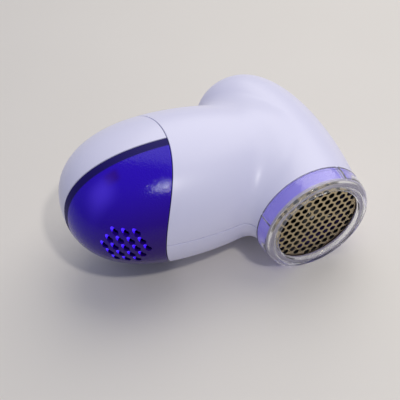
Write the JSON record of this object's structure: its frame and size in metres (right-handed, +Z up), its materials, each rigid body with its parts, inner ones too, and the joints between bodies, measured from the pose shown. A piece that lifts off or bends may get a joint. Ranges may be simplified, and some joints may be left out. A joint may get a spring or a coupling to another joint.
{
  "type": "electric fabric shaver",
  "caption": "Hand-held electric lint shaver: rounded white body, perforated round foil with a clear spacer ring, translucent rear lint collector and a battery cover.",
  "frame": {"origin": "centre of the bounding box at table level, with the shaver lying on the flank of its handle", "axes": "+X along the handle towards the shaving head, +Y from the shaving foil towards the top of the head, +Z up"},
  "size_m": [0.1352, 0.0994, 0.0666],
  "materials": {
    "white_shell": "glossy lavender white",
    "violet_clear": "glossy translucent blue-violet",
    "deep_violet": "satin dark violet",
    "clear_ring": "clear and glossy",
    "pale_plastic": "matte",
    "black_plastic": "matte",
    "steel": "satin",
    "nickel": "bright",
    "brass": "bright",
    "cell_sleeve": "glossy sleeve",
    "ceramic": "matte dip coat",
    "red_sheath": "matte",
    "black_sheath": "matte"
  },
  "bodies": {
    "casing": {"casing_upper": "white_shell", "casing_lower": "white_shell", "case_screw_1": "steel", "case_screw_2": "steel", "case_screw_3": "steel", "case_screw_4": "steel", "battery_bay_floor": "deep_violet", "collector_bulkhead": "deep_violet", "lint_duct": "pale_plastic", "fan_housing": "pale_plastic", "motor_plate": "pale_plastic", "motor_can": "steel", "motor_end_cap": "black_plastic", "motor_screw_1": "steel", "motor_screw_2": "steel", "motor_terminal_1": "brass", "motor_terminal_2": "brass", "motor_capacitor": "ceramic", "battery_tray": "pale_plastic", "battery_a": "cell_sleeve", "battery_b": "cell_sleeve", "contact_plus": "nickel", "contact_minus": "nickel", "series_link": "nickel", "front_contact_spring": "steel", "rear_contact_spring": "steel", "switch_body": "black_plastic", "safety_switch": "black_plastic", "wire_supply": "red_sheath", "wire_switched": "red_sheath", "wire_return": "black_sheath", "wire_motor": "black_sheath"},
    "foil_head": {"foil_frame": "violet_clear", "cutting_foil": "steel", "foil_clamp": "pale_plastic"},
    "spacer": {"spacer_ring": "clear_ring"},
    "rotor": {"drive_shaft": "steel", "fan_impeller": "pale_plastic", "drive_coupling": "black_plastic", "cutter_spring": "steel", "blade_carrier": "black_plastic", "blade_1": "steel", "blade_2": "steel", "blade_3": "steel"},
    "power_slider": {"switch_knob": "white_shell", "switch_lever": "black_plastic"},
    "rear_cover": {"battery_cover": "white_shell"},
    "collector": {"lint_collector": "violet_clear"},
    "safety_pin": {"safety_plunger": "pale_plastic"}
  },
  "joints": [
    {"name": "foil_head_twist", "type": "hinge", "parent": "casing", "child": "foil_head", "pos_m": [0.03554, -0.04307, 0.02697], "axis": [-0.0029, -0.9996, -0.0278], "range_deg": [0, 25]},
    {"name": "spacer_ring_slide", "type": "slide", "parent": "foil_head", "child": "spacer", "axis": [-0.0029, -0.9996, -0.0278], "range_m": [0, 0.012]},
    {"name": "cutter_spin", "type": "hinge", "parent": "casing", "child": "rotor", "pos_m": [0.03559, -0.02908, 0.02736], "axis": [-0.0029, -0.9996, -0.0278], "continuous": true},
    {"name": "power_slide", "type": "slide", "parent": "casing", "child": "power_slider", "axis": [0.9794, -0.1716, -0.106], "range_m": [0, 0.006]},
    {"name": "battery_cover_slide", "type": "slide", "parent": "casing", "child": "rear_cover", "axis": [-0.993, 0.0549, 0.1042], "range_m": [0, 0.045]},
    {"name": "collector_slide", "type": "slide", "parent": "casing", "child": "collector", "axis": [-0.993, 0.0549, 0.1042], "range_m": [0, 0.045]},
    {"name": "safety_pin_press", "type": "slide", "parent": "casing", "child": "safety_pin", "axis": [0.0029, 0.9996, 0.0278], "range_m": [0, 0.0008], "stiffness_N_per_m": 300}
  ]
}
